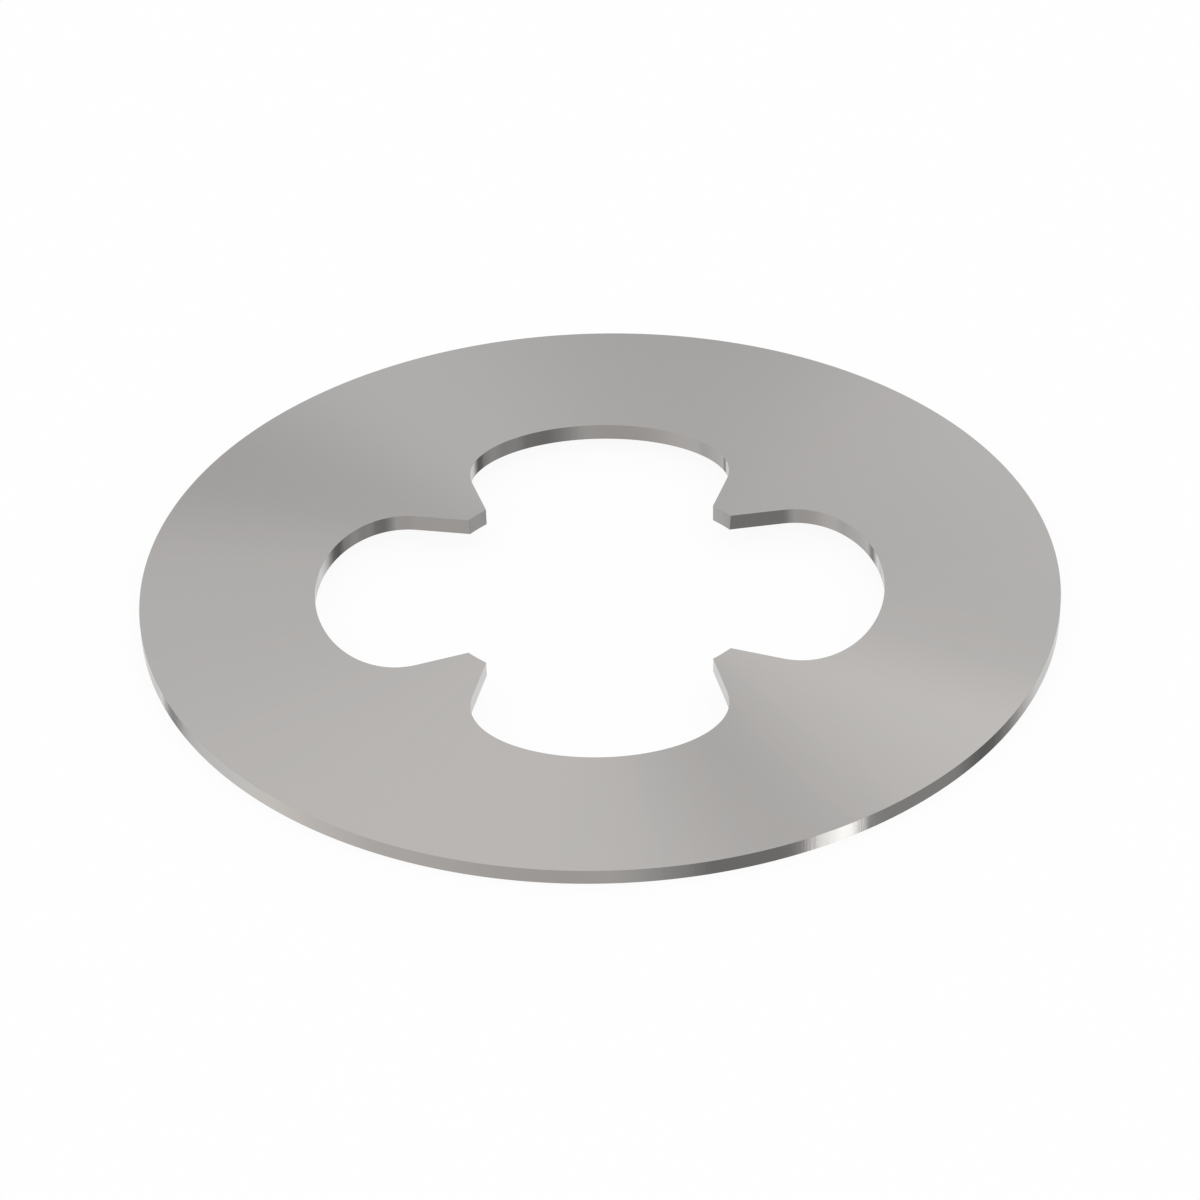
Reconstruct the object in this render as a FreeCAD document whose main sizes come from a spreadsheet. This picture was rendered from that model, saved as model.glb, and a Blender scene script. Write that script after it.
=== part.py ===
import FreeCAD, Part
import math
import os

import Sketcher

# Disc spring, pressed from one piece of spring steel sheet: a shallow conical ring whose
# bore is opened out by lobes, which leave tongues reaching in between them.
# Millimetres. Z is the spring's axis. The lower outer edge, which the spring rests on,
# lies in the plane Z = 0, and the tongues stand up from it.

NODE = "disc_spring"

# Driving dimensions. The diameters and the rise are measured on the upper face.
DRIVING = [
    ("outer_diameter", 50.0),
    ("bore_diameter", 18.8),
    ("sheet_thickness", 0.92),
    ("cone_rise", 1.2),
    ("lobe_count", 4),
    ("lobe_reach_diameter", 30.9),
    ("lobe_width", 14.05),
    ("lobe_depth", 9.35),
    ("flank_angle", 15.0),
]

# Sizes that follow from the driving ones. The mouth is the lobe's inner end, where its
# cut is already clear of the metal.
DERIVED = [
    ("outer_radius", "=outer_diameter / 2"),
    ("bore_radius", "=bore_diameter / 2"),
    ("lobe_centre", "=(lobe_reach_diameter - lobe_depth) / 2"),
    ("mouth_reach", "=bore_radius / 2"),
]


def make_sheet(doc):
    """Write every dimension into the spreadsheet, each under its own alias."""
    sheet = doc.addObject("Spreadsheet::Sheet", "Dimensions")
    for row, (alias, content) in enumerate(DRIVING + DERIVED, start=1):
        sheet.set("A%d" % row, alias)
        sheet.set("B%d" % row, str(content))
        sheet.setAlias("B%d" % row, alias)
    doc.recompute()
    return sheet


def new_sketch(body, name, role):
    """An empty sketch on the origin plane of the body that has this role."""
    plane = next(item for item in body.Origin.OriginFeatures if item.Role == role)
    sketch = body.newObject("Sketcher::SketchObject", name)
    sketch.AttachmentSupport = (plane, [""])
    sketch.MapMode = "FlatFace"
    return sketch


def bind(sketch, alias, constraint):
    """Add a size to the sketch and tie it to the spreadsheet's cell of that name."""
    index = sketch.addConstraint(constraint)
    sketch.renameConstraint(index, alias)
    sketch.setExpression("Constraints." + alias, "Dimensions." + alias)


def draw_section(sketch, sheet):
    """The sheet's section beside the axis: a rectangle tilted by the cone's slope."""
    outer = sheet.outer_radius
    bore = sheet.bore_radius
    slope = math.atan2(sheet.cone_rise, outer - bore)
    through = FreeCAD.Vector(-math.sin(slope), -math.cos(slope), 0) * sheet.sheet_thickness
    top_outer = FreeCAD.Vector(outer, -through.y, 0)
    top_bore = FreeCAD.Vector(bore, top_outer.y + sheet.cone_rise, 0)
    corners = [top_outer, top_outer + through, top_bore + through, top_bore]
    for start, end in zip(corners, corners[1:] + corners[:1]):
        sketch.addGeometry(Part.LineSegment(start, end), False)
    rim, under, tip, top = range(4)
    for line, following in [(rim, under), (under, tip), (tip, top), (top, rim)]:
        sketch.addConstraint(Sketcher.Constraint("Coincident", line, 2, following, 1))
    for line in (rim, tip):
        sketch.addConstraint(Sketcher.Constraint("Perpendicular", line, top))
    sketch.addConstraint(Sketcher.Constraint("Parallel", under, top))
    # Geometry -1 is the sketch's horizontal axis: the plane that the spring rests on.
    sketch.addConstraint(Sketcher.Constraint("PointOnObject", rim, 2, -1))
    bind(sketch, "outer_radius", Sketcher.Constraint("DistanceX", -1, 1, rim, 1, outer))
    bind(sketch, "bore_radius", Sketcher.Constraint("DistanceX", -1, 1, top, 1, bore))
    bind(sketch, "cone_rise",
         Sketcher.Constraint("DistanceY", rim, 1, top, 1, sheet.cone_rise))
    bind(sketch, "sheet_thickness",
         Sketcher.Constraint("Distance", rim, sheet.sheet_thickness))


def draw_lobe(sketch, sheet):
    """One lobe, on the X axis: an ellipse that lies across it, and two straight flanks
    that leave the ellipse at a tangent and run in to the mouth."""
    half_width = sheet.lobe_width / 2
    half_depth = sheet.lobe_depth / 2
    flank = math.radians(sheet.flank_angle)
    centre = FreeCAD.Vector(sheet.lobe_centre, 0, 0)
    side = centre + FreeCAD.Vector(0, half_width, 0)
    inner = centre - FreeCAD.Vector(half_depth, 0, 0)
    ellipse = Part.Ellipse(side, inner, centre)
    # The ellipse's parameter is 0 at its side and grows towards the bore.
    touch = math.atan(math.tan(flank) * half_depth / half_width)
    left = ellipse.value(touch)
    narrowing = (left.x - sheet.mouth_reach) * math.tan(flank)
    mouth_left = FreeCAD.Vector(sheet.mouth_reach, left.y - narrowing, 0)
    right = FreeCAD.Vector(left.x, -left.y, 0)
    mouth_right = FreeCAD.Vector(mouth_left.x, -mouth_left.y, 0)

    bow = sketch.addGeometry(
        Part.ArcOfEllipse(ellipse, math.pi - touch, 2 * math.pi + touch), False)
    left_flank = sketch.addGeometry(Part.LineSegment(mouth_left, left), False)
    right_flank = sketch.addGeometry(Part.LineSegment(mouth_right, right), False)
    mouth = sketch.addGeometry(Part.LineSegment(mouth_left, mouth_right), False)
    sketch.exposeInternalGeometry(bow)
    long_axis, short_axis = mouth + 1, mouth + 2

    sketch.addConstraint(Sketcher.Constraint("Tangent", bow, 2, left_flank, 2))
    sketch.addConstraint(Sketcher.Constraint("Tangent", bow, 1, right_flank, 2))
    sketch.addConstraint(Sketcher.Constraint("Coincident", left_flank, 1, mouth, 1))
    sketch.addConstraint(Sketcher.Constraint("Coincident", right_flank, 1, mouth, 2))
    sketch.addConstraint(Sketcher.Constraint("Symmetric", mouth, 1, mouth, 2, -1))
    sketch.addConstraint(Sketcher.Constraint("PointOnObject", bow, 3, -1))
    sketch.addConstraint(Sketcher.Constraint("Vertical", long_axis))
    bind(sketch, "lobe_centre",
         Sketcher.Constraint("DistanceX", -1, 1, bow, 3, sheet.lobe_centre))
    bind(sketch, "lobe_width", Sketcher.Constraint("Distance", long_axis, sheet.lobe_width))
    bind(sketch, "lobe_depth", Sketcher.Constraint("Distance", short_axis, sheet.lobe_depth))
    bind(sketch, "mouth_reach",
         Sketcher.Constraint("DistanceX", -1, 1, mouth, 1, sheet.mouth_reach))
    bind(sketch, "flank_angle", Sketcher.Constraint("Angle", left_flank, flank))


def make_spring(doc, sheet):
    """The whole spring: a coned ring, with a lobe cut through it and repeated."""
    body = doc.addObject("PartDesign::Body", "DiscSpring")
    body.Label = NODE
    body.Placement = FreeCAD.Placement()

    section = new_sketch(body, "SheetSection", "XZ_Plane")
    draw_section(section, sheet)
    ring = body.newObject("PartDesign::Revolution", "ConedRing")
    ring.Profile = section
    ring.ReferenceAxis = (section, ["V_Axis"])
    ring.Angle = 360
    doc.recompute()

    outline = new_sketch(body, "LobeOutline", "XY_Plane")
    draw_lobe(outline, sheet)
    lobe = body.newObject("PartDesign::Pocket", "Lobe")
    lobe.Profile = outline
    lobe.Type = "ThroughAll"
    lobe.Reversed = True
    doc.recompute()

    lobes = body.newObject("PartDesign::PolarPattern", "Lobes")
    lobes.Originals = [lobe]
    lobes.Axis = (outline, ["N_Axis"])
    lobes.Angle = 360
    lobes.setExpression("Occurrences", "Dimensions.lobe_count")
    body.Tip = lobes
    doc.recompute()
    return body, ring, lobe, lobes


def check_sketches(doc):
    """Every sketch is fixed by its sizes, with nothing free to drift."""
    for item in doc.Objects:
        if item.TypeId == "Sketcher::SketchObject" and not item.FullyConstrained:
            raise RuntimeError(item.Name + " has a free size")


def check_cuts(ring, lobe, lobes, count):
    """Each lobe takes its own share of the ring away."""
    one_lobe = ring.Shape.Volume - lobe.Shape.Volume
    all_lobes = ring.Shape.Volume - lobes.Shape.Volume
    if one_lobe <= 0 or all_lobes <= one_lobe:
        raise RuntimeError("a lobe cuts nothing")
    print("one lobe %.3f mm3, %d lobes %.3f mm3" % (one_lobe, count, all_lobes))


def check_states(doc, body):
    """No object has failed, and the finished body is one sound solid."""
    for item in doc.Objects:
        if "Invalid" in item.State or "Error" in item.State:
            raise RuntimeError(item.Name + " failed")
    shape = body.Shape
    if shape.isNull() or not shape.isValid() or len(shape.Solids) != 1:
        raise RuntimeError(body.Label + " is not one sound solid")


def main():
    doc = FreeCAD.newDocument("DiscSpring")
    sheet = make_sheet(doc)
    body, ring, lobe, lobes = make_spring(doc, sheet)
    check_states(doc, body)
    check_sketches(doc)
    check_cuts(ring, lobe, lobes, int(sheet.lobe_count))
    os.makedirs("parts", exist_ok=True)
    body.Shape.exportStep(os.path.join("parts", NODE + ".step"))
    box = body.Shape.BoundBox
    print("%s: %.3f x %.3f x %.3f mm, volume %.3f mm3, lowest point %.4f"
          % (NODE, box.XLength, box.YLength, box.ZLength, body.Shape.Volume, box.ZMin))


main()
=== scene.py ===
import math

import bmesh
import bpy
from mathutils import Matrix, Vector


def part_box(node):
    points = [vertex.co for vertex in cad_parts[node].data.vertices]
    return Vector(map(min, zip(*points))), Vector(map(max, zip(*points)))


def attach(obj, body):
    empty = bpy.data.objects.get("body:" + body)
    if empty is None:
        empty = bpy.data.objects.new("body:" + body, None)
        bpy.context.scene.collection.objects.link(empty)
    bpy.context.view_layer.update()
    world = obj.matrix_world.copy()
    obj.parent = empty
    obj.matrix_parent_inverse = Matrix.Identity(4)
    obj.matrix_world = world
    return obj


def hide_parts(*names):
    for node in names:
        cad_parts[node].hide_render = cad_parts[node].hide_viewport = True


# A disc spring with four tongues, in bright spring steel, lying on a plain white floor.
# Metres, in the frame of the CAD model: Z is the spring's axis and the floor is Z = 0.

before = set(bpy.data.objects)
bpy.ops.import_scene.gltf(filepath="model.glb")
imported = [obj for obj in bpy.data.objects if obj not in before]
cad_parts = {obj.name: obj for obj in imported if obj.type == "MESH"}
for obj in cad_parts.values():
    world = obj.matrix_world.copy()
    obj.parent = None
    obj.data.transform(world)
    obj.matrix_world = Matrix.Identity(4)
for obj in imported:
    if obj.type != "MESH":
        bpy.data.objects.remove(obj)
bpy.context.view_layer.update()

NODE = "disc_spring"
MM = 0.001

# The spring's sizes, as in its CAD source. The heights are those of the upper face.
OUTER_DIAMETER = 50.0 * MM
BORE_DIAMETER = 18.8 * MM
THICKNESS = 0.92 * MM
CONE_RISE = 1.2 * MM
LOBE_COUNT = 4
LOBE_REACH_DIAMETER = 30.9 * MM
LOBE_WIDTH = 14.05 * MM
LOBE_DEPTH = 9.35 * MM
FLANK_ANGLE = math.radians(15.0)

# What tumbling leaves: edges and tongue corners that are just broken.
EDGE_RADIUS = 0.008 * MM
CORNER_RADIUS = 0.02 * MM

# The slight crown that coning leaves: by how much the faces lean more at the rim, and less
# at the bore, than the cone. It shows in what they mirror and is too low for the outline.
CROWN = math.radians(0.3)

# How finely the surface is divided.
ARC_STEPS = 30
FLANK_STEPS = 6
CORNER_STEPS = 4
TIP_STEPS = 5
EDGE_STEPS = 3
FACE_RINGS = 6
FLOOR_STEPS = 96
BACKDROP_SUBDIVISIONS = 4

# A normal whose upright part is at least this belongs to a face of the sheet. A level one
# belongs to a cut face.
FACE_UPRIGHT = 0.8

SHEET_REACH = (OUTER_DIAMETER - BORE_DIAMETER) / 2
SLOPE = math.atan2(CONE_RISE, SHEET_REACH)


def rim_radius():
    """The largest radius that stays inside the CAD model's box."""
    low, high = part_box(NODE)
    return min(high.x, high.y, -low.x, -low.y)


def top_height(radius):
    """Height of the upper face at this radius."""
    return THICKNESS * math.cos(SLOPE) + (OUTER_DIAMETER / 2 - radius) * math.tan(SLOPE)


def under_height(radius):
    """Height of the lower face at this radius."""
    return top_height(radius) - THICKNESS / math.cos(SLOPE)


def face_normal(x, y):
    """Unit normal of the upper face at this place, with its crown."""
    radius = math.hypot(x, y)
    from_rim = OUTER_DIAMETER / 2 - radius
    slope = SLOPE + CROWN * (1 - 2 * from_rim / SHEET_REACH)
    lean = math.sin(slope) / radius
    return Vector((x * lean, y * lean, math.cos(slope)))


def half_lobe(bore):
    """The edge of the opening from the middle of a lobe, on the X axis, to the middle of
    the tongue beside it: (x, y, normal into the opening, lean of the wall) for each point."""
    centre = LOBE_REACH_DIAMETER / 2 - LOBE_DEPTH / 2
    half_depth = LOBE_DEPTH / 2
    half_width = LOBE_WIDTH / 2

    # The ellipse ends where it has turned as far as the flank, which goes on from there.
    touch = math.pi / 2 + math.atan(math.tan(FLANK_ANGLE) * half_depth / half_width)
    points = []
    for step in range(ARC_STEPS + 1):
        turn = touch * step / ARC_STEPS
        x = centre + half_depth * math.cos(turn)
        y = half_width * math.sin(turn)
        normal = Vector((-math.cos(turn) / half_depth, -math.sin(turn) / half_width)).normalized()
        points.append((x, y, normal, 0.0))

    # The corner is an arc inside the metal that touches both the flank and the bore.
    flank_normal = Vector((math.sin(FLANK_ANGLE), -math.cos(FLANK_ANGLE)))
    along = Vector((-math.cos(FLANK_ANGLE), -math.sin(FLANK_ANGLE)))
    start = Vector(points[-1][:2])
    foot = start - flank_normal * CORNER_RADIUS
    reach = foot.dot(along)
    gap = foot.length_squared - (bore + CORNER_RADIUS) ** 2
    run = -reach - math.sqrt(reach * reach - gap)
    corner = foot + along * run
    for step in range(1, FLANK_STEPS + 1):
        point = start + along * (run * step / FLANK_STEPS)
        points.append((point.x, point.y, flank_normal, 0.0))
    inward = -corner.normalized()
    swing = flank_normal.angle_signed(inward)
    for step in range(1, CORNER_STEPS + 1):
        part = step / CORNER_STEPS
        normal = Matrix.Rotation(-swing * part, 2) @ flank_normal
        point = corner + normal * CORNER_RADIUS
        points.append((point.x, point.y, normal, SLOPE * part))

    first = math.atan2(corner.y, corner.x)
    last = math.pi / LOBE_COUNT
    for step in range(1, TIP_STEPS + 1):
        turn = first + (last - first) * step / TIP_STEPS
        outward = Vector((math.cos(turn), math.sin(turn)))
        points.append((bore * outward.x, bore * outward.y, -outward, SLOPE))
    return points


def opening_edge(bore):
    """The whole edge of the opening, once round, as (x, y, unit normal of the wall)."""
    half = half_lobe(bore)
    mirrored = [(x, -y, Vector((n.x, -n.y)), lean) for x, y, n, lean in half[1:-1]]
    lobe = mirrored[::-1] + half
    edge = []
    for index in range(LOBE_COUNT):
        turn = Matrix.Rotation(2 * math.pi * index / LOBE_COUNT, 2)
        for x, y, normal, lean in lobe:
            place = turn @ Vector((x, y))
            flat = turn @ normal
            wall = Vector((flat.x * math.cos(lean), flat.y * math.cos(lean), math.sin(lean)))
            edge.append((place.x, place.y, wall))
    return edge


def broken_edge(point, before, after):
    """The small round along an edge between two faces with these unit normals."""
    centre = point - (before + after) * (EDGE_RADIUS / (1 + before.dot(after)))
    made = []
    for step in range(EDGE_STEPS + 1):
        normal = before.slerp(after, step / EDGE_STEPS)
        made.append((centre + normal * EDGE_RADIUS, normal))
    return made


def face_line(start, end, height, side):
    """Points across the upper or lower face from start to end, without the two ends."""
    made = []
    for step in range(1, FACE_RINGS):
        point = start.lerp(end, step / FACE_RINGS)
        point.z = height(math.hypot(point.x, point.y))
        made.append((point, face_normal(point.x, point.y) * side))
    return made


def section(top_edge, under_edge, rim):
    """One closed section through the sheet, as (point, normal), from the upper rim edge
    down the rim, in under the sheet, up the wall of the opening and out over the top."""
    x, y, wall_top = top_edge
    radius = math.hypot(x, y)
    outward = Vector((x / radius, y / radius, 0.0))
    across = outward * math.sin(SLOPE) + Vector((0, 0, math.cos(SLOPE)))
    rim_wall = outward * math.cos(SLOPE) - Vector((0, 0, math.sin(SLOPE)))
    rim_top = outward * rim + Vector((0, 0, top_height(rim)))
    rim_under = rim_top - across * THICKNESS
    rim_up = face_normal(rim_top.x, rim_top.y)
    rim_down = -face_normal(rim_under.x, rim_under.y)
    opening_top = Vector((x, y, top_height(radius)))
    opening_up = face_normal(x, y)
    x, y, wall_under = under_edge
    opening_under = Vector((x, y, under_height(math.hypot(x, y))))
    opening_down = -face_normal(x, y)

    outer = (broken_edge(rim_top, rim_up, rim_wall)
             + broken_edge(rim_under, rim_wall, rim_down))
    inner = (broken_edge(opening_under, opening_down, wall_under)
             + broken_edge(opening_top, wall_top, opening_up))
    under = face_line(outer[-1][0], inner[0][0], under_height, -1)
    over = face_line(inner[-1][0], outer[0][0], top_height, 1)
    return outer + under + inner + over


def spring_mesh():
    """The spring's surface, with each vertex's exact normal, and the cut faces marked."""
    rim = rim_radius()
    bore = BORE_DIAMETER / 2
    tops = opening_edge(bore)
    unders = opening_edge(bore - THICKNESS * math.sin(SLOPE))
    sections = [section(top, under, rim) for top, under in zip(tops, unders)]
    count = len(sections)
    size = len(sections[0])
    vertices = [tuple(point) for ring in sections for point, normal in ring]
    normals = [tuple(normal) for ring in sections for point, normal in ring]
    faces = []
    for column in range(count):
        following = (column + 1) % count
        for row in range(size):
            below = (row + 1) % size
            faces.append((column * size + row, column * size + below,
                          following * size + below, following * size + row))
    mesh = bpy.data.meshes.new("spring")
    mesh.from_pydata(vertices, [], faces)
    mesh.polygons.foreach_set("use_smooth", [True] * len(faces))
    mesh.normals_split_custom_set_from_vertices(normals)
    cut = mesh.attributes.new("cut_face", "FLOAT", "POINT")
    cut_shares = [1.0 - min(1.0, abs(normal[2]) / FACE_UPRIGHT) for normal in normals]
    cut.data.foreach_set("value", cut_shares)
    mesh.validate()
    mesh.update()
    return mesh


# Shader nodes

def value_of(nodes, links, operation, *given_values):
    """A Math node's result; each input may be a number or another node's output."""
    node = nodes.new("ShaderNodeMath")
    node.operation = operation
    for socket, given in zip(node.inputs, given_values):
        if isinstance(given, (int, float)):
            socket.default_value = given
        else:
            links.new(given, socket)
    return node.outputs[0]


def noise(nodes, links, place, scale, detail, roughness=0.5):
    """A noise texture's value, with its scale in features to the unit of the place."""
    node = nodes.new("ShaderNodeTexNoise")
    node.inputs["Scale"].default_value = scale
    node.inputs["Detail"].default_value = detail
    node.inputs["Roughness"].default_value = roughness
    links.new(place, node.inputs["Vector"])
    return node.outputs["Fac"]


def remap(nodes, links, given, from_low, from_high, to_low, to_high):
    """A value moved smoothly from one range to another and held at its ends."""
    node = nodes.new("ShaderNodeMapRange")
    node.interpolation_type = "SMOOTHSTEP"
    links.new(given, node.inputs["Value"])
    node.inputs["From Min"].default_value = from_low
    node.inputs["From Max"].default_value = from_high
    node.inputs["To Min"].default_value = to_low
    node.inputs["To Max"].default_value = to_high
    return node.outputs["Result"]


STEEL_WARM = (0.4735, 0.4576, 0.4458, 1.0)
STEEL_COOL = (0.4665, 0.4584, 0.4472, 1.0)

# The streaks that coning the sheet drew out from its middle: how many there are to a
# radian, how fast one fades into the next along the radius, per metre, and the range of
# their noise over which cool steel turns warm.
STREAKS = 13.0
STREAK_FADE = 5.0
STREAK_RANGE = (0.35, 0.65)

# The polish: its roughness where it is least and most worn, what a cut face adds to it,
# the wear's features to a metre, and the range of its noise that counts.
ROUGHNESS = (0.105, 0.115)
CUT_ROUGHNESS = 0.015
WEAR_SCALE = 4000.0
WEAR_RANGE = (0.3, 0.7)

# Relief: the sheet's grain, and the lines that shearing leaves on its cut faces. Each has
# its height and its features to a metre, and the lines are drawn out along the axis.
GRAIN_RELIEF = 0.00005 * MM
GRAIN_SCALE = 9000.0
SHEAR_RELIEF = 0.006 * MM
SHEAR_SCALE = 1500.0
SHEAR_STRETCH = (1.0, 1.0, 0.05)


def bump(nodes, links, height, distance, share, before=None):
    """A Bump node's normal, for a relief of this height shown where the share is 1."""
    node = nodes.new("ShaderNodeBump")
    node.inputs["Distance"].default_value = distance
    links.new(share, node.inputs["Strength"])
    links.new(height, node.inputs["Height"])
    if before is not None:
        links.new(before, node.inputs["Normal"])
    return node.outputs["Normal"]


def streak_place(nodes, links, place):
    """A place for a texture that is drawn out along the radius into streaks."""
    flat = nodes.new("ShaderNodeVectorMath")
    flat.operation = "MULTIPLY"
    links.new(place, flat.inputs[0])
    flat.inputs[1].default_value = (1.0, 1.0, 0.0)
    outward = nodes.new("ShaderNodeVectorMath")
    outward.operation = "NORMALIZE"
    links.new(flat.outputs["Vector"], outward.inputs[0])
    radius = nodes.new("ShaderNodeVectorMath")
    radius.operation = "LENGTH"
    links.new(flat.outputs["Vector"], radius.inputs[0])
    fade = value_of(nodes, links, "MULTIPLY", radius.outputs["Value"], STREAK_FADE)
    lift = nodes.new("ShaderNodeCombineXYZ")
    links.new(fade, lift.inputs["Z"])
    moved = nodes.new("ShaderNodeVectorMath")
    moved.operation = "ADD"
    links.new(outward.outputs["Vector"], moved.inputs[0])
    links.new(lift.outputs["Vector"], moved.inputs[1])
    return moved.outputs["Vector"]


def steel_material():
    """Bright spring steel: faint warm and cool streaks out from the middle, a very fine
    grain on the sheet, and shear lines through the thickness on the cut faces."""
    material = bpy.data.materials.new("bright_spring_steel")
    material.use_nodes = True
    nodes, links = material.node_tree.nodes, material.node_tree.links
    shader = nodes["Principled BSDF"]
    shader.inputs["Metallic"].default_value = 1.0
    place = nodes.new("ShaderNodeTexCoord").outputs["Object"]

    drawn_out = streak_place(nodes, links, place)
    streaks = noise(nodes, links, drawn_out, STREAKS, detail=4.0, roughness=0.6)
    warm_share = remap(nodes, links, streaks, *STREAK_RANGE, 0.0, 1.0)
    colour = nodes.new("ShaderNodeMix")
    colour.data_type = "RGBA"
    links.new(warm_share, colour.inputs["Factor"])
    colour.inputs["A"].default_value = STEEL_COOL
    colour.inputs["B"].default_value = STEEL_WARM
    links.new(colour.outputs["Result"], shader.inputs["Base Color"])

    cut = nodes.new("ShaderNodeAttribute")
    cut.attribute_name = "cut_face"
    cut_share = cut.outputs["Fac"]
    sheet_share = value_of(nodes, links, "SUBTRACT", 1.0, cut_share)

    worn = noise(nodes, links, place, WEAR_SCALE, detail=3.0, roughness=0.55)
    rough = remap(nodes, links, worn, *WEAR_RANGE, *ROUGHNESS)
    rough_cut = value_of(nodes, links, "MULTIPLY", cut_share, CUT_ROUGHNESS)
    links.new(value_of(nodes, links, "ADD", rough, rough_cut), shader.inputs["Roughness"])

    stretch = nodes.new("ShaderNodeMapping")
    stretch.inputs["Scale"].default_value = SHEAR_STRETCH
    links.new(place, stretch.inputs["Vector"])
    stretched = stretch.outputs["Vector"]
    grain = noise(nodes, links, place, GRAIN_SCALE, detail=2.0)
    shear = noise(nodes, links, stretched, SHEAR_SCALE, detail=4.0, roughness=0.55)
    grained = bump(nodes, links, grain, GRAIN_RELIEF, sheet_share)
    sheared = bump(nodes, links, shear, SHEAR_RELIEF, cut_share, grained)
    links.new(sheared, shader.inputs["Normal"])
    return material


def make_spring():
    """The spring's detailed surface in place of its CAD node."""
    spring = bpy.data.objects.new("spring", spring_mesh())
    bpy.context.scene.collection.objects.link(spring)
    spring.data.materials.append(steel_material())
    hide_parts(NODE)
    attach(spring, "root")
    return spring


# The studio

WHITE = (1.0, 1.0, 1.0, 1.0)
FLOOR_RADIUS = 2.0
BACKDROP_RADIUS = 2.2

# How much of the floor, where it is seen directly, is plain white. The rest is paint, which
# takes the spring's shadow.
BACKDROP_SHARE = 0.92

# The studio's brightness above and below the horizon, and how far from the horizon, as the
# upright part of a direction, each is reached.
STUDIO_ABOVE = 0.91
STUDIO_BELOW = 0.82
HORIZON_EDGE = 0.25

# How uneven the studio is above the horizon: patches to the unit of direction, their range
# of brightness, and the upright part of a direction from which they are in full. The part
# behind the spring, where the cards stand, stays plain: its bearing and height, the radius
# of its even part and the width of its soft edge.
UNEVEN_SCALE = 8.0
UNEVEN_LEVEL = 1.0
UNEVEN_FROM = 0.2
PLAIN_PART = (180, 36, 13, 9)

# Soft cards round the spring, for the bright and dark parts of what its faces mirror in the
# photograph: bearing from the front towards +X, height above the horizon, radius of the
# even part, width of its soft edge, all in degrees, and brightness added.
CARDS = {
    "back_low_dark": (188, 29, 0, 4, -0.30),
    "back_lower_dark": (179, 23, 0, 5, -0.26),
    "back_high_dark": (176, 43, 0, 4, -0.31),
    "back_high_bright": (173, 42, 0, 4, 0.38),
    "back_top_bright": (181, 48, 0, 13, 0.13),
    "back_right_bright": (170, 29, 0, 8, 0.40),
    "back_right_dark": (178, 32, 0, 5, -0.27),
    "under_left_spark": (215, -40, 4, 4, 0.42),
    "under_left_gap": (216, -42, 1, 7, -0.99),
    "under_left_high_dark": (223, -31, 0, 8, -0.69),
    "under_left_bright": (258, -58, 8, 20, 0.79),
    "under_left_dark": (260, -47, 7, 16, -0.32),
    "under_right_dark": (73, -36, 34, 20, -0.41),
    "under_front_dark": (41, -43, 9, 4, -0.11),
    "under_right_gap": (127, -29, 12, 10, -0.23),
    "under_lamp": (65, -46, 4, 4, 1.27),
    "under_lamp_core": (68, -46, 0, 5, 1.03),
    "under_front_left": (352, -7, 12, 42, -0.22),
    "under_right_bright": (142, -22, 10, 10, 0.39),
    "right_low_bright": (86, -22, 0, 18, 0.23),
    "overhead_bright": (30, 78, 2, 24, 0.30),
}

# Where the studio's white is a little warm: its colour there, and for each such patch the
# bearing, height, even part, soft edge and share of that colour.
WARM_COLOUR = (1.0, 0.974, 0.955, 1.0)
WARM_PATCHES = {
    "under_left": (332, -26, 20, 22, 1.0),
    "under_left_low": (274, -58, 19, 4, 1.0),
    "back_high": (172, 41, 0, 5, 0.6),
    "back_top": (187, 46, 0, 7, 0.6),
}


def bearing(azimuth, elevation):
    """Unit vector at this bearing from the front (-Y) towards +X, and this height."""
    turn, lift = math.radians(azimuth), math.radians(elevation)
    return Vector((math.sin(turn) * math.cos(lift), -math.cos(turn) * math.cos(lift),
                   math.sin(lift)))


def patch(nodes, links, direction, azimuth, elevation, radius, edge, value):
    """This value inside a round patch of the studio, falling smoothly to 0 outside it."""
    facing = nodes.new("ShaderNodeVectorMath")
    facing.operation = "DOT_PRODUCT"
    links.new(direction, facing.inputs[0])
    facing.inputs[1].default_value = bearing(azimuth, elevation)
    outside = math.cos(math.radians(radius + edge))
    inside = math.cos(math.radians(radius))
    return remap(nodes, links, facing.outputs["Value"], outside, inside, 0.0, value)


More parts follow.
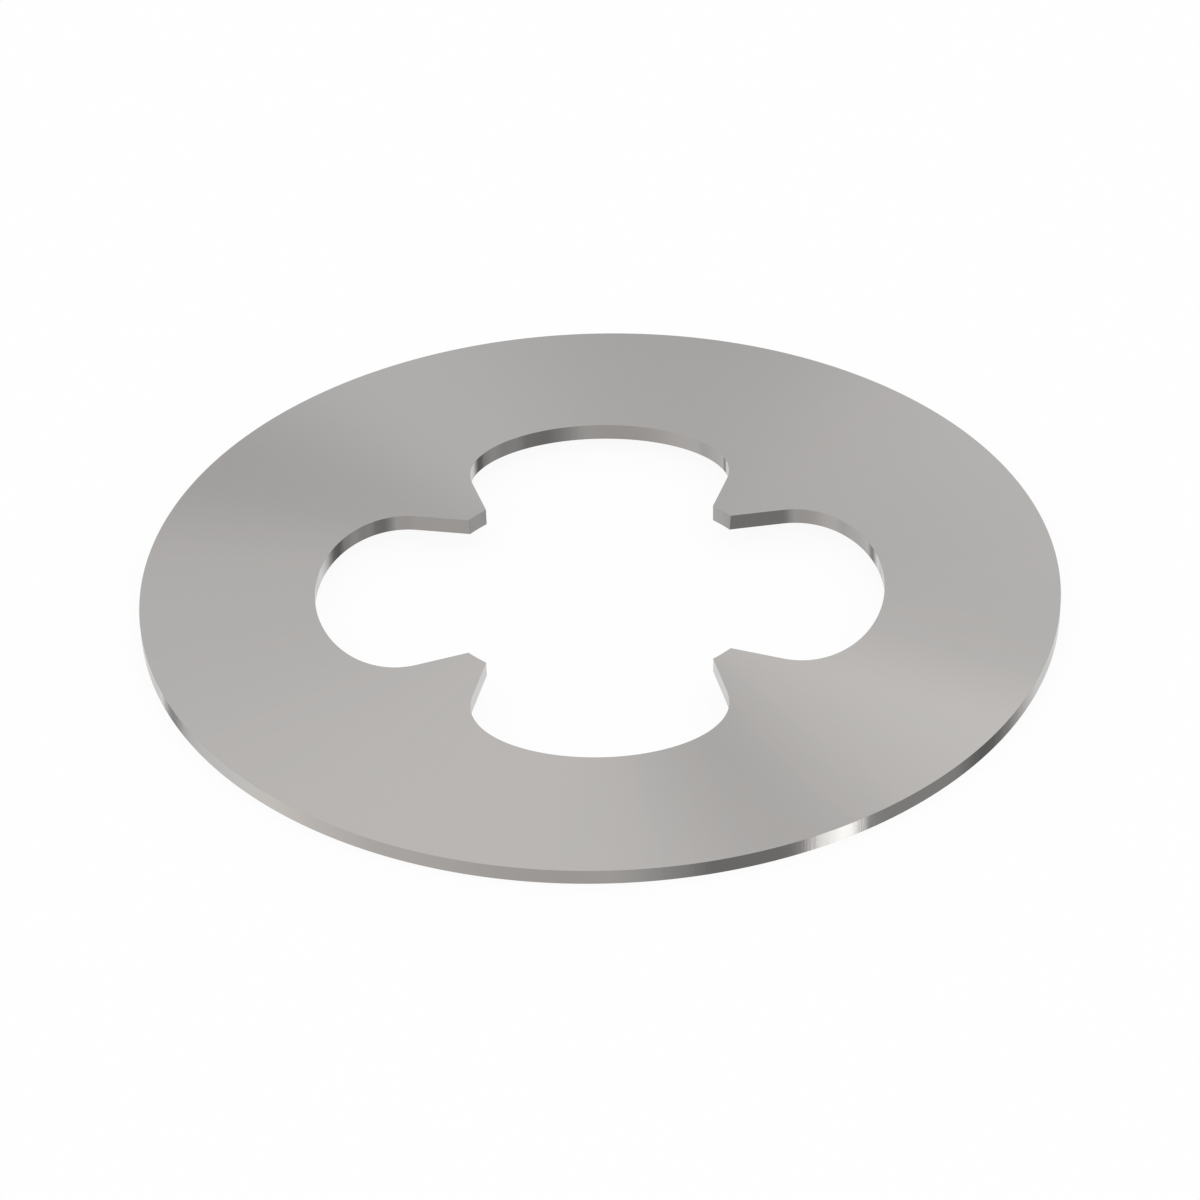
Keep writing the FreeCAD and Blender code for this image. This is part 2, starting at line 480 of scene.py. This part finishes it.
def make_studio():
    """A white studio, a little darker below the horizon and a little uneven above it, with
    the soft cards added to it and the warm patches mixed in."""
    world = bpy.data.worlds.new("studio")
    bpy.context.scene.world = world
    world.use_nodes = True
    nodes, links = world.node_tree.nodes, world.node_tree.links
    direction = nodes.new("ShaderNodeTexCoord").outputs["Generated"]
    split = nodes.new("ShaderNodeSeparateXYZ")
    links.new(direction, split.inputs[0])
    height = split.outputs["Z"]
    level = remap(nodes, links, height, -HORIZON_EDGE, HORIZON_EDGE, STUDIO_BELOW, STUDIO_ABOVE)
    for card in CARDS.values():
        added = patch(nodes, links, direction, *card)
        level = value_of(nodes, links, "ADD", level, added)

    uneven = noise(nodes, links, direction, UNEVEN_SCALE, detail=1.0)
    uneven = value_of(nodes, links, "MULTIPLY_ADD", uneven, UNEVEN_LEVEL, -UNEVEN_LEVEL / 2)
    plain = patch(nodes, links, direction, *PLAIN_PART, 1.0)
    share = value_of(nodes, links, "SUBTRACT", 1.0, plain)
    above = remap(nodes, links, height, 0.0, UNEVEN_FROM, 0.0, 1.0)
    share = value_of(nodes, links, "MULTIPLY", share, above)
    uneven = value_of(nodes, links, "MULTIPLY", uneven, share)
    level = value_of(nodes, links, "ADD", level, uneven)

    warmth = 0.0
    for warm_patch in WARM_PATCHES.values():
        warm = patch(nodes, links, direction, *warm_patch)
        warmth = value_of(nodes, links, "MAXIMUM", warmth, warm)
    colour = nodes.new("ShaderNodeMix")
    colour.data_type = "RGBA"
    links.new(warmth, colour.inputs["Factor"])
    colour.inputs["A"].default_value = WHITE
    colour.inputs["B"].default_value = WARM_COLOUR
    background = nodes["Background"]
    links.new(colour.outputs["Result"], background.inputs["Color"])
    links.new(level, background.inputs["Strength"])


def floor_material():
    """White paint that keeps the spring's shadow. Seen directly it is nearly all plain
    white, and from below it isn't seen at all, so that the spring's underside is."""
    material = bpy.data.materials.new("white_floor")
    material.use_nodes = True
    nodes, links = material.node_tree.nodes, material.node_tree.links
    nodes.remove(nodes["Principled BSDF"])
    paint = nodes.new("ShaderNodeBsdfDiffuse")
    paint.inputs["Color"].default_value = WHITE
    white = nodes.new("ShaderNodeEmission")
    white.inputs["Color"].default_value = WHITE
    path = nodes.new("ShaderNodeLightPath")
    mirrored = value_of(nodes, links, "MAXIMUM", path.outputs["Is Glossy Ray"],
                        path.outputs["Is Transmission Ray"])
    seen = value_of(nodes, links, "MAXIMUM", path.outputs["Is Camera Ray"], mirrored)
    mix = nodes.new("ShaderNodeMixShader")
    links.new(value_of(nodes, links, "MULTIPLY", seen, BACKDROP_SHARE), mix.inputs["Fac"])
    links.new(paint.outputs[0], mix.inputs[1])
    links.new(white.outputs[0], mix.inputs[2])
    one_sided = nodes.new("ShaderNodeMixShader")
    links.new(nodes.new("ShaderNodeNewGeometry").outputs["Backfacing"], one_sided.inputs["Fac"])
    links.new(mix.outputs[0], one_sided.inputs[1])
    links.new(nodes.new("ShaderNodeBsdfTransparent").outputs[0], one_sided.inputs[2])
    links.new(one_sided.outputs[0], nodes["Material Output"].inputs["Surface"])
    return material


def make_floor():
    """A large round floor at the height that the spring rests on."""
    turns = [2 * math.pi * step / FLOOR_STEPS for step in range(FLOOR_STEPS)]
    ring = [(FLOOR_RADIUS * math.cos(t), FLOOR_RADIUS * math.sin(t), 0.0) for t in turns]
    mesh = bpy.data.meshes.new("floor")
    mesh.from_pydata(ring, [], [tuple(range(FLOOR_STEPS))])
    mesh.materials.append(floor_material())
    floor = bpy.data.objects.new("floor", mesh)
    bpy.context.scene.collection.objects.link(floor)
    # The spring's low edges mirror the studio below them, as in the photograph.
    floor.visible_glossy = False


def make_backdrop():
    """A plain white dome far round everything, which only the camera sees."""
    material = bpy.data.materials.new("white_backdrop")
    material.use_nodes = True
    nodes, links = material.node_tree.nodes, material.node_tree.links
    nodes.remove(nodes["Principled BSDF"])
    white = nodes.new("ShaderNodeEmission")
    white.inputs["Color"].default_value = WHITE
    links.new(white.outputs[0], nodes["Material Output"].inputs["Surface"])
    shape = bmesh.new()
    bmesh.ops.create_icosphere(shape, subdivisions=BACKDROP_SUBDIVISIONS,
                               radius=BACKDROP_RADIUS)
    mesh = bpy.data.meshes.new("backdrop")
    shape.to_mesh(mesh)
    shape.free()
    mesh.materials.append(material)
    backdrop = bpy.data.objects.new("backdrop", mesh)
    bpy.context.scene.collection.objects.link(backdrop)
    backdrop.visible_diffuse = False
    backdrop.visible_glossy = False
    backdrop.visible_transmission = False
    backdrop.visible_volume_scatter = False
    backdrop.visible_shadow = False


# The photograph's camera: a parallel view, in degrees, its scale, and where the spring's
# axis meets the height of the upper rim, in photograph pixels right of and below the middle.
CAMERA_AZIMUTH = 0.812
CAMERA_ELEVATION = 35.643
CAMERA_ROLL = -1.473
PHOTO_WIDTH = 1200
PIXELS_PER_RADIUS = 461.15
AIM_RIGHT = 0.06
AIM_BELOW = 2.11

# How far the camera stands from there, and the nearest and furthest that it sees, in metres.
CAMERA_DISTANCE = 0.5
CAMERA_NEAR = 0.01
CAMERA_FAR = 10.0


def make_camera():
    """A parallel camera at the photograph's angle and scale."""
    turn, lift = math.radians(CAMERA_AZIMUTH), math.radians(CAMERA_ELEVATION)
    right = Vector((math.cos(turn), math.sin(turn), 0.0))
    back = bearing(CAMERA_AZIMUTH, CAMERA_ELEVATION)
    up = back.cross(right)
    roll = math.radians(CAMERA_ROLL)
    across = right * math.cos(roll) + up * math.sin(roll)
    upright = back.cross(across)
    pixel = OUTER_DIAMETER / 2 / PIXELS_PER_RADIUS
    aim = Vector((0.0, 0.0, top_height(OUTER_DIAMETER / 2)))
    aim += upright * (AIM_BELOW * pixel) - across * (AIM_RIGHT * pixel)
    data = bpy.data.cameras.new("camera")
    data.type = "ORTHO"
    data.ortho_scale = PHOTO_WIDTH * pixel
    data.clip_start = CAMERA_NEAR
    data.clip_end = CAMERA_FAR
    camera = bpy.data.objects.new("camera", data)
    bpy.context.scene.collection.objects.link(camera)
    axes = Matrix((across, upright, back)).transposed().to_4x4()
    camera.matrix_world = Matrix.Translation(aim + back * CAMERA_DISTANCE) @ axes
    bpy.context.scene.camera = camera


make_spring()
make_floor()
make_backdrop()
make_studio()
make_camera()
bpy.context.scene.view_settings.view_transform = "Standard"
bpy.context.view_layer.update()
